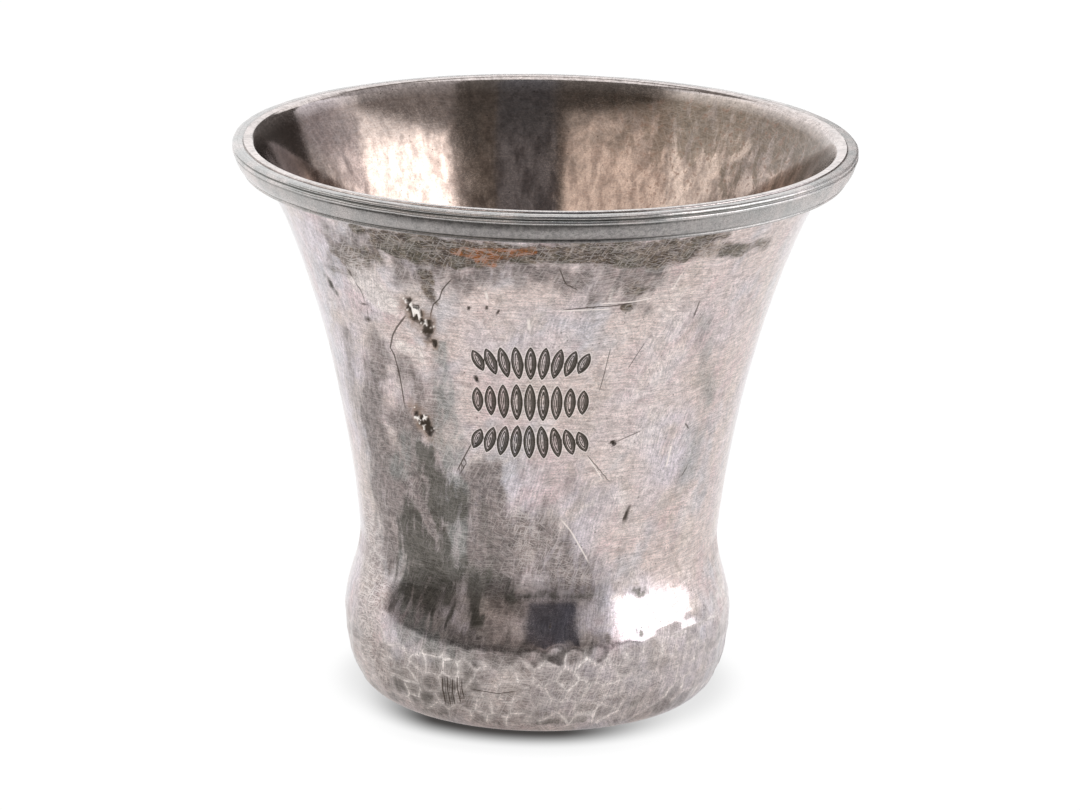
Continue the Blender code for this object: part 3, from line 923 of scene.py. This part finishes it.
INSIDE_SILVER = ((0.71, 0.56, 0.48), (0.37, 0.282, 0.24))
INSIDE_UNDER_LIP = (0.24, 0.20, 0.178)
INSIDE_BLOTCH = (0.155, 0.12, 0.085)
INSIDE_SPOT = (0.20, 0.13, 0.10)
INSIDE_LEFT_DARK_REFLECTION = (0.17, 0.13, 0.115)
LIP_SILVER = (0.66, 0.59, 0.56)
DARK_SCRATCH = (0.16, 0.13, 0.12)
PALE_SCRATCH = (0.90, 0.84, 0.81)
PEPPER = (0.09, 0.075, 0.065)
SCUFF = (0.92, 0.85, 0.80)
CUT_DIRT = (0.06, 0.045, 0.035)
STAIN = (0.27, 0.19, 0.14)
BRIGHT_FLAKE = (0.97, 0.92, 0.87)
HOLE_DIRT = (0.040, 0.030, 0.020)
STROKE_BURR = (0.92, 0.86, 0.82)
STROKE_DIRT = (0.030, 0.026, 0.018)
RIM_SILVER = ((0.50, 0.50, 0.49), (0.68, 0.63, 0.61))
RIM_GRAIN = (0.33, 0.31, 0.30)
RIM_FILM = ((0.225, 0.216, 0.21), (0.38, 0.36, 0.35))
# Dark of the grooves and seams, and painted shade under the moulding
RIM_DIRT_AND_SHADE = (0.07, 0.072, 0.062)


def scratches(nodes, flat, slants, length, low, high):
    """Fine polishing scratches: thin streaks at several slants on the unrolled wall."""
    total = None
    for index, slant in enumerate(slants):
        streak = nodes.streaks(flat, slant, length + 0.4 * index, 0.14 + 0.02 * index, 1.0, 0.4)
        streak = nodes.remap(streak, low, high)
        total = streak if total is None else nodes.larger(total, streak)
    return total


def body_noises(nodes):
    """The patterns that the body's looks share."""
    place = millimetres(nodes)
    flat = unrolled(nodes, place)
    broad = nodes.noise(place, 0.055, 3.0, 0.55)
    bent = nodes.swing(broad, 5.0)
    bent = nodes.add("ShaderNodeVectorMath", {0: flat, 1: bent}, operation="ADD").outputs[0]
    return SimpleNamespace(
        place=place, bent=bent, broad=broad,
        patchy=nodes.noise(place, 0.22, 5.0, 0.62, 0.6),
        grain=nodes.noise(place, 1.1, 4.0, 0.62),
        fine=nodes.noise(flat, 4.2, 2.0, 0.6, 0.0, "2D"),
        streaked=nodes.noise(nodes.stretch(place, (0.0, 0.0, 0.0), (1.8, 1.8, 9.0)), 1.0, 4.0, 0.62),
        swept=nodes.streaks(flat, -0.12, 1.3, 4.5, 4.0, 0.62, 0.3),
        inside=nodes.field("interior"), height=nodes.parts(place)[2], aside=nodes.parts(place)[0])


def silver_colour(nodes, at):
    """Warm and cool metal under thin clouds of tint."""
    colour = nodes.between(at.broad, 0.38, 0.64, (WARM_SILVER, COOL_SILVER))
    for index, (scale, tint) in enumerate(CLOUD_TINTS):
        turned = nodes.stretch(at.place, (0.4 * index, 0.7, 0.2), (1.0, 1.0, 1.7))
        veiled = nodes.noise(turned, scale, 3.0, 0.6)
        colour = nodes.lay(colour, nodes.remap(veiled, 0.50, 0.68), 0.6, tint)
    dulled = nodes.between(at.patchy, 0.35, 0.65, DULLED)
    return nodes.lay(colour, nodes.remap(at.streaked, 0.48, 0.76), 0.4, dulled)


def tarnish_cover(nodes, at):
    """A function that reads a smear's field and breaks up its edges."""
    def broken(noise):
        return nodes.times(nodes.remap(noise, 0.32, 0.68, 0.62, 1.40),
                           nodes.remap(at.grain, 0.30, 0.70, 0.84, 1.16))

    unevenness = {"cloudy": broken(at.patchy), "sweeping": broken(at.swept)}

    def ragged(name, low, high, kind="cloudy"):
        return nodes.remap(nodes.times(nodes.field(name), unevenness[kind]), low, high)
    return ragged


def tarnished_colour(nodes, at, colour, ragged):
    """Veils, films, patina and crust over the metal, and painted light on the right of the flare."""
    veil = nodes.between(at.grain, 0.3, 0.7, VEIL)
    colour = nodes.lay(colour, ragged("veil", 0.05, 0.80, "sweeping"), 0.94, veil)
    colour = nodes.lay(colour, ragged("blue_film", 0.10, 0.90, "sweeping"), 0.8, BLUE_FILM)
    # Pale film, with painted light on the right of the flare
    colour = nodes.lay(colour, ragged("pale", 0.15, 0.90), 0.75, PALE_FILM_AND_PAINTED_LIGHT)
    colour = nodes.lay(colour, at.tarnished, 0.94, nodes.between(at.patchy, 0.36, 0.64, OLIVE))
    crust = nodes.between(at.grain, 0.42, 0.62, CRUST)
    crust = nodes.lay(crust, nodes.remap(at.patchy, 0.48, 0.62), 0.6, GREEN_CRUST)
    crust = nodes.lay(crust, nodes.remap(at.fine, 0.62, 0.70), 0.5, CRUST_GLINT)
    colour = nodes.lay(colour, at.crusted, 0.94, crust)
    orange = nodes.between(at.grain, 0.40, 0.60, ORANGE)
    return nodes.lay(colour, ragged("orange_stain", 0.35, 0.80), 0.90, orange)


def hammered_colour(nodes, at, colour):
    """Hammered band: dull hollows of uneven tone, with painted highlights on the slopes and ridges between
    them.
    """
    slope, ridge = nodes.field("slope"), nodes.field("ridge")
    colour = nodes.lay(colour, at.hammered, 0.42, BAND_DULLNESS)
    colour = nodes.lay(colour, nodes.remap(nodes.field("bowl_tone"), -0.3, 0.8), 0.50, BOWL_DULLNESS)
    # Painted highlights on the bowls' slopes and ridges, broken up by a noise
    worn = nodes.swing(at.patchy, 1.8)
    lit_slopes = nodes.remap(nodes.plus(slope, nodes.times(worn, 0.6)), 0.25, 1.0)
    rubbed = nodes.remap(nodes.plus(ridge, worn), 0.66, 1.05)
    colour = nodes.lay(colour, nodes.times(lit_slopes, nodes.remap(slope, 0.0, 0.3)), 0.42, BOWL_SIDE_HIGHLIGHT)
    colour = nodes.lay(colour, nodes.times(rubbed, nodes.remap(ridge, 0.1, 0.6)), 0.62, BOWL_RIDGE_HIGHLIGHT)
    return nodes.lay(colour, at.grainy, 0.58, GRAINY_BROWN)


def inside_colour(nodes, at):
    """Browner tarnish with pinkish rubbed spots, heaviest under the lip, and a painted dark reflection at the
    far left.
    """
    inner = nodes.between(at.streaked, 0.40, 0.66, INSIDE_SILVER)
    high = nodes.plus(at.height, nodes.swing(at.patchy, 16.0))
    inner = nodes.lay(inner, nodes.remap(high, 67.0, 76.0), 0.8, INSIDE_UNDER_LIP)
    blotch = nodes.plus(nodes.remap(high, 60.0, 78.0), nodes.swing(at.swept, 2.2))
    blotch = nodes.times(nodes.remap(blotch, 0.55, 0.95), nodes.remap(at.aside, -2.0, 22.0))
    inner = nodes.lay(inner, blotch, 0.62, INSIDE_BLOTCH)
    spotted = nodes.times(nodes.remap(at.grain, 0.54, 0.66), nodes.remap(at.aside, -5.0, 25.0))
    inner = nodes.lay(inner, spotted, 0.8, INSIDE_SPOT)
    # Painted dark reflection at the inside's far left
    far_left = nodes.plus(at.aside, nodes.swing(at.patchy, 6.0))
    return nodes.lay(inner, nodes.remap(far_left, -29.0, -33.0), 0.75, INSIDE_LEFT_DARK_REFLECTION)


def grained_colour(nodes, at, colour, pepper):
    """Cloudy mottling, brushed grain, scratches and pepper specks at a fine scale."""
    brushed = nodes.streaks(at.bent, 0.03, 3.2, 0.22, 2.0, 0.6)
    drawn = nodes.streaks(at.bent, 1.42, 3.6, 0.22, 2.0, 0.6)
    hair = nodes.mix(nodes.remap(at.broad, 0.46, 0.54), brushed, drawn)
    colour = nodes.mottled(colour, at.grain, 0.30, 0.70, 0.80, 1.16)
    colour = nodes.mottled(colour, at.fine, 0.34, 0.66, 0.88, 1.10)
    outside = nodes.rest(nodes.times(at.inside, 0.7))
    colour = nodes.mix(outside, colour, nodes.mottled(colour, hair, 0.34, 0.66, 0.84, 1.13))
    crowded = nodes.plus(nodes.times(at.grainy, 0.30), nodes.times(outside, 0.25))
    covered = nodes.math("MAXIMUM", at.tarnished, nodes.times(nodes.field("veil"), 0.5), clamp=True)
    crowded = nodes.times(crowded, nodes.rest(nodes.times(covered, 0.7)))
    colour = nodes.lay(colour, scratches(nodes, at.bent, DARK_SLANTS, 2.0, 0.61, 0.70), crowded, DARK_SCRATCH)
    colour = nodes.lay(colour, scratches(nodes, at.bent, PALE_SLANTS, 1.6, 0.60, 0.70), crowded, PALE_SCRATCH)
    return nodes.lay(colour, pepper, 0.65, PEPPER)


def marked_colour(nodes, at, colour):
    """Cut lines, rubbed lines, corroded hollows and the engraved strokes."""
    def fine_line(name, outer, inner):
        gap = nodes.size(nodes.field(name + "_gap"))
        return nodes.times(nodes.remap(gap, outer, inner), nodes.field(name + "_cover"))

    colour = nodes.lay(colour, fine_line("scuff", 1.3, 0.5), 0.7, SCUFF)
    colour = nodes.lay(colour, fine_line("cut", 1.3, 0.6), 0.85, CUT_DIRT)
    stained = nodes.times(nodes.field("halo"), nodes.remap(at.patchy, 0.36, 0.60))
    colour = nodes.lay(colour, stained, 0.8, STAIN)
    colour = nodes.lay(colour, nodes.field("bright_metal"), 0.95, BRIGHT_FLAKE)
    colour = nodes.lay(colour, nodes.field("hole"), 0.92, HOLE_DIRT)

    # A stroke is a dark outline round fine hatching, shaded on its right, with a pale burr
    depth = nodes.minus(nodes.field("leaf_gap"), 1.0)
    inked = nodes.remap(nodes.size(depth), 0.15, 0.08)
    shaded = nodes.times(nodes.remap(depth, 0.0, 0.06), nodes.remap(nodes.field("leaf_side"), -0.05, 0.35))
    hatch = nodes.math("PINGPONG", nodes.plus(depth, nodes.times(at.grain, 0.08)), 0.12)
    hatched = nodes.times(nodes.remap(hatch, 0.085, 0.055), nodes.remap(depth, 0.05, 0.12))
    inked = nodes.larger(inked, nodes.times(hatched, 0.95))
    inked = nodes.larger(inked, nodes.times(shaded, 0.85))
    burr = nodes.remap(nodes.size(nodes.plus(depth, 0.18)), 0.10, 0.03)
    colour = nodes.lay(colour, burr, 0.45, STROKE_BURR)
    return nodes.lay(colour, inked, 0.97, STROKE_DIRT)


def body_material():
    """Worn silver: rubbed metal under brown, violet and grey-green tarnish."""
    material, nodes, surface = new_material("tarnished_silver_look", 1.0)
    at = body_noises(nodes)
    ragged = tarnish_cover(nodes, at)
    at.tarnished = ragged("dark_patina", 0.12, 0.75, "sweeping")
    at.crusted = ragged("brown_crust", 0.20, 0.62)
    at.grainy = ragged("grainy", 0.10, 0.90)
    at.hammered = nodes.field("hammered")
    dots = nodes.add("ShaderNodeTexVoronoi", {"Vector": at.place, "Scale": 1.15, "Randomness": 1.0})
    size = nodes.add("ShaderNodeSeparateColor", {0: dots.outputs["Color"]}).outputs[0]
    reach = nodes.remap(size, 0.4, 1.0, 0.0, 0.15, "LINEAR")
    pepper = nodes.math("LESS_THAN", dots.outputs["Distance"], reach)

    colour = tarnished_colour(nodes, at, silver_colour(nodes, at), ragged)
    colour = hammered_colour(nodes, at, colour)
    colour = nodes.mix(at.inside, colour, inside_colour(nodes, at))
    colour = nodes.lay(colour, nodes.field("lip"), 0.9, LIP_SILVER)
    colour = grained_colour(nodes, at, colour, pepper)
    nodes.feed(marked_colour(nodes, at, colour), surface.inputs["Base Color"])

    # Roughest on crust, in holes, and in a satin belt at the waist
    rough = nodes.remap(at.patchy, 0.35, 0.65, 0.07, 0.15, "LINEAR")
    satin = nodes.times(nodes.remap(at.height, 19.6, 20.8), nodes.remap(at.height, 24.0, 22.2))
    satin = nodes.times(satin, nodes.rest(at.inside))
    for cover, amount in ((at.crusted, 0.20), (nodes.field("hole"), 0.3), (at.hammered, 0.06), (satin, 0.22),
                          (nodes.remap(at.fine, 0.50, 0.64), 0.04), (nodes.field("veil"), 0.05)):
        rough = nodes.plus(rough, nodes.times(cover, amount))
    nodes.feed(rough, surface.inputs["Roughness"])
    nodes.bump(surface, nodes.minus(nodes.times(at.grain, 0.35), nodes.times(pepper, 0.8)), 0.13)
    return material


def rim_material():
    """Cleaner grey silver with drawn reeds, dark in its grooves, and painted shade along its underside."""
    material, nodes, surface = new_material("rim_silver_look", 1.0)
    place = millimetres(nodes)
    patchy = nodes.noise(place, 0.25, 4.0, 0.6)
    grain = nodes.noise(place, 1.8, 4.0, 0.6)
    fine = nodes.noise(place, 5.5, 3.0, 0.6)
    film = nodes.field("film")
    colour = nodes.between(patchy, 0.35, 0.68, RIM_SILVER)
    colour = nodes.lay(colour, nodes.remap(grain, 0.5, 0.75), 0.5, RIM_GRAIN)
    colour = nodes.lay(colour, film, 0.9, nodes.between(grain, 0.36, 0.62, RIM_FILM))
    colour = nodes.mottled(colour, fine, 0.38, 0.64, 0.82, 1.14)
    # Dark grooves and seams, with painted shade under the moulding
    colour = nodes.lay(colour, nodes.field("groove"), 0.85, RIM_DIRT_AND_SHADE)
    nodes.feed(colour, surface.inputs["Base Color"])
    rough = nodes.plus(nodes.remap(grain, 0.3, 0.7, 0.12, 0.26, "LINEAR"), nodes.times(film, 0.16))
    # Worn dull at its right end
    rough = nodes.plus(rough, nodes.remap(nodes.parts(place)[0], 33.0, 41.0, 0.0, 0.30))
    nodes.feed(rough, surface.inputs["Roughness"])
    nodes.bump(surface, nodes.plus(nodes.times(grain, 0.5), nodes.times(fine, 0.3)), 0.4)
    return material


# Studio

# In metres, radians and photo pixels
CAMERA_DISTANCE = 0.700
CAMERA_ASIDE = -0.00012
CAMERA_HEIGHT = 0.24285
CAMERA_PITCH = math.radians(16.079)
CAMERA_ROLL = math.radians(1.0)
FOCAL_PIXELS = 5095.7
PHOTO_WIDTH = 1080


def make_camera():
    """The photograph's viewpoint: in front, a little above, tipped down and barely rolled."""
    data = bpy.data.cameras.new("camera")
    data.sensor_width = 36.0
    data.lens = FOCAL_PIXELS / PHOTO_WIDTH * data.sensor_width
    data.clip_start = 0.01
    camera = bpy.data.objects.new("camera", data)
    bpy.context.scene.collection.objects.link(camera)
    forward = Vector((0.0, math.cos(CAMERA_PITCH), -math.sin(CAMERA_PITCH)))
    level = Vector((1.0, 0.0, 0.0))
    upright = level.cross(forward)
    right = math.cos(CAMERA_ROLL) * level + math.sin(CAMERA_ROLL) * upright
    above = math.cos(CAMERA_ROLL) * upright - math.sin(CAMERA_ROLL) * level
    turn = Matrix((right, above, -forward)).transposed().to_4x4()
    camera.matrix_world = Matrix.Translation((CAMERA_ASIDE, -CAMERA_DISTANCE, CAMERA_HEIGHT)) @ turn
    bpy.context.scene.camera = camera


# Soft boxes and dark gaps round the table, each laid over those before it:
# azimuths and elevations in degrees, width of the soft edge, radiance
PANELS = (
    ((-105, 105), (-95, 19), 5.0, (0.36, 0.34, 0.33)),
    ((-200, 200), (46, 62), 5.0, (0.22, 0.20, 0.19)),
    ((-62, 50), (19, 62), 5.0, (0.16, 0.15, 0.14)),
    ((-105, -60), (18, 42), 4.0, (1.15, 1.13, 1.10)),
    ((-62, -10), (20, 41), 3.0, (0.94, 0.86, 0.80)),
    ((24, 46), (-12, 16), 3.0, (0.62, 0.60, 0.59)),
    ((46, 125), (30, 66), 3.0, (0.45, 0.43, 0.43)),
    ((-36, -9), (1, 18), 4.0, (0.47, 0.44, 0.42)),
    ((44, 108), (-5, 27), 9.0, (1.4, 1.4, 1.42)),
    ((48, 106), (-9, 31), 3.0, (2.5, 2.5, 2.55)),
    ((93, 126), (14, 31), 3.0, (1.0, 0.99, 1.06)),
    ((126, 170), (-6, 26), 1.5, (0.12, 0.11, 0.105)),
    ((-6, 24), (3.5, 18), 0.8, (0.088, 0.090, 0.102)),
    ((-6, 24), (18, 60), 0.8, (0.15, 0.155, 0.17)),
)
BACKDROP_RADIANCE = (1.15, 1.15, 1.16)
WHITE_BACKDROP = (1.1, 1.1, 1.1)


def make_surround():
    """White studio seen by the camera; soft boxes and the dark room seen in the silver."""
    world = bpy.data.worlds.new("studio")
    world.use_nodes = True
    bpy.context.scene.world = world
    nodes = Nodes(world.node_tree)
    parts = nodes.parts(nodes.add("ShaderNodeTexCoord").outputs["Generated"])
    azimuth = nodes.math("DEGREES", nodes.math("ARCTAN2", parts[0], nodes.times(parts[1], -1.0)))
    elevation = nodes.math("DEGREES", nodes.math("ARCSINE", parts[2]))
    light = BACKDROP_RADIANCE
    for azimuths, elevations, soft, radiance in PANELS:
        cover = None
        for value, (low, high) in ((azimuth, azimuths), (elevation, elevations)):
            for outer, inner in ((low - soft, low + soft), (high + soft, high - soft)):
                edge = nodes.remap(value, outer, inner)
                cover = edge if cover is None else nodes.times(cover, edge)
        light = nodes.mix(cover, light, radiance)
    seen = nodes.add("ShaderNodeLightPath").outputs["Is Camera Ray"]
    light = nodes.mix(seen, light, WHITE_BACKDROP)
    nodes.feed(light, world.node_tree.nodes["Background"].inputs["Color"])


# Ground: its reach and its edges are in metres
FLOOR_REACH = 0.75
MIRRORED_GLOW = 0.32
CONTACT_SHADE = (0.064, 0.060, 0.058)
WHITE_PAPER = (1.03, 1.03, 1.03)
SHADOW_EDGES = (0.0240, 0.0309)
HALO_EDGES = (0.0290, 0.0370)
HALO_SHARE = 0.12
THINNED_RIGHT = (0.003, 0.022)
THINNED_LEFT = (-0.014, -0.026)
THINNING = 0.74
SHEET_EDGE = (0.120, 0.082)
SHEET_BEYOND = (0.28, 0.40)
SHEET_SKEW = math.radians(14.0)
SHEET_WHITE = (0.93, 0.93, 0.93)
SHEET_GREYS = ((0.20, 0.195, 0.19), (0.40, 0.38, 0.37))


def contact_shadow(nodes, place, parts):
    """The ground as the camera sees it: white, dark where the foot meets it."""
    radius = nodes.add("ShaderNodeVectorMath", {0: place}, operation="LENGTH").outputs["Value"]
    open_air = nodes.plus(nodes.remap(radius, *SHADOW_EDGES, 0.0, 1.0 - HALO_SHARE),
                          nodes.remap(radius, *HALO_EDGES, 0.0, HALO_SHARE))
    # Light from both sides thins the shadow there
    thinned = nodes.larger(nodes.remap(parts[0], *THINNED_RIGHT, 0.0, THINNING),
                           nodes.remap(parts[0], *THINNED_LEFT, 0.0, THINNING))
    shade = nodes.times(nodes.rest(open_air), nodes.rest(thinned))
    colour = nodes.mix(nodes.rest(shade), CONTACT_SHADE, WHITE_PAPER)
    return nodes.add("ShaderNodeEmission", {"Color": colour}).outputs[0]


def make_floor():
    """Plain white ground. In the silver's reflection its sheet darkens towards the front."""
    corners = [(x * FLOOR_REACH, y * FLOOR_REACH, 0.0) for x, y in ((-1, -1), (1, -1), (1, 1), (-1, 1))]
    mesh = bpy.data.meshes.new("ground")
    mesh.from_pydata(corners, [], [(0, 1, 2, 3)])
    ground = bpy.data.objects.new("ground", mesh)
    bpy.context.scene.collection.objects.link(ground)
    material, nodes, surface = new_material("white_ground")
    place = nodes.add("ShaderNodeTexCoord").outputs["Object"]
    parts = nodes.parts(place)
    forward = nodes.plus(nodes.times(parts[1], -math.cos(SHEET_SKEW)),
                         nodes.times(parts[0], -math.sin(SHEET_SKEW)))
    reach = nodes.remap(forward, *SHEET_EDGE)
    sheet = nodes.mix(reach, nodes.between(forward, *SHEET_BEYOND, SHEET_GREYS), SHEET_WHITE)
    nodes.feed(sheet, surface.inputs["Base Color"])
    surface.inputs["Emission Color"].default_value = (1.0, 1.0, 1.0, 1.0)
    nodes.feed(nodes.times(reach, MIRRORED_GLOW), surface.inputs["Emission Strength"])
    surface.inputs["Roughness"].default_value = 0.9
    seen = nodes.add("ShaderNodeLightPath").outputs["Is Camera Ray"]
    looks = nodes.add("ShaderNodeMixShader", {0: seen, 1: surface.outputs[0],
                                              2: contact_shadow(nodes, place, parts)})
    nodes.feed(looks.outputs[0], nodes.tree.nodes["Material Output"].inputs["Surface"])
    mesh.materials.append(material)


def main():
    scene = bpy.context.scene
    scene.view_settings.view_transform = "Standard"
    body = make_body(body_material())
    rim = make_rim(rim_material())
    for piece, node, slot in ((body, "beaker_body", "tarnished_silver"), (rim, "rim_moulding", "rim_silver")):
        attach(piece, "root")
        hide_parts(node)
    make_floor()
    make_surround()
    make_camera()


main()
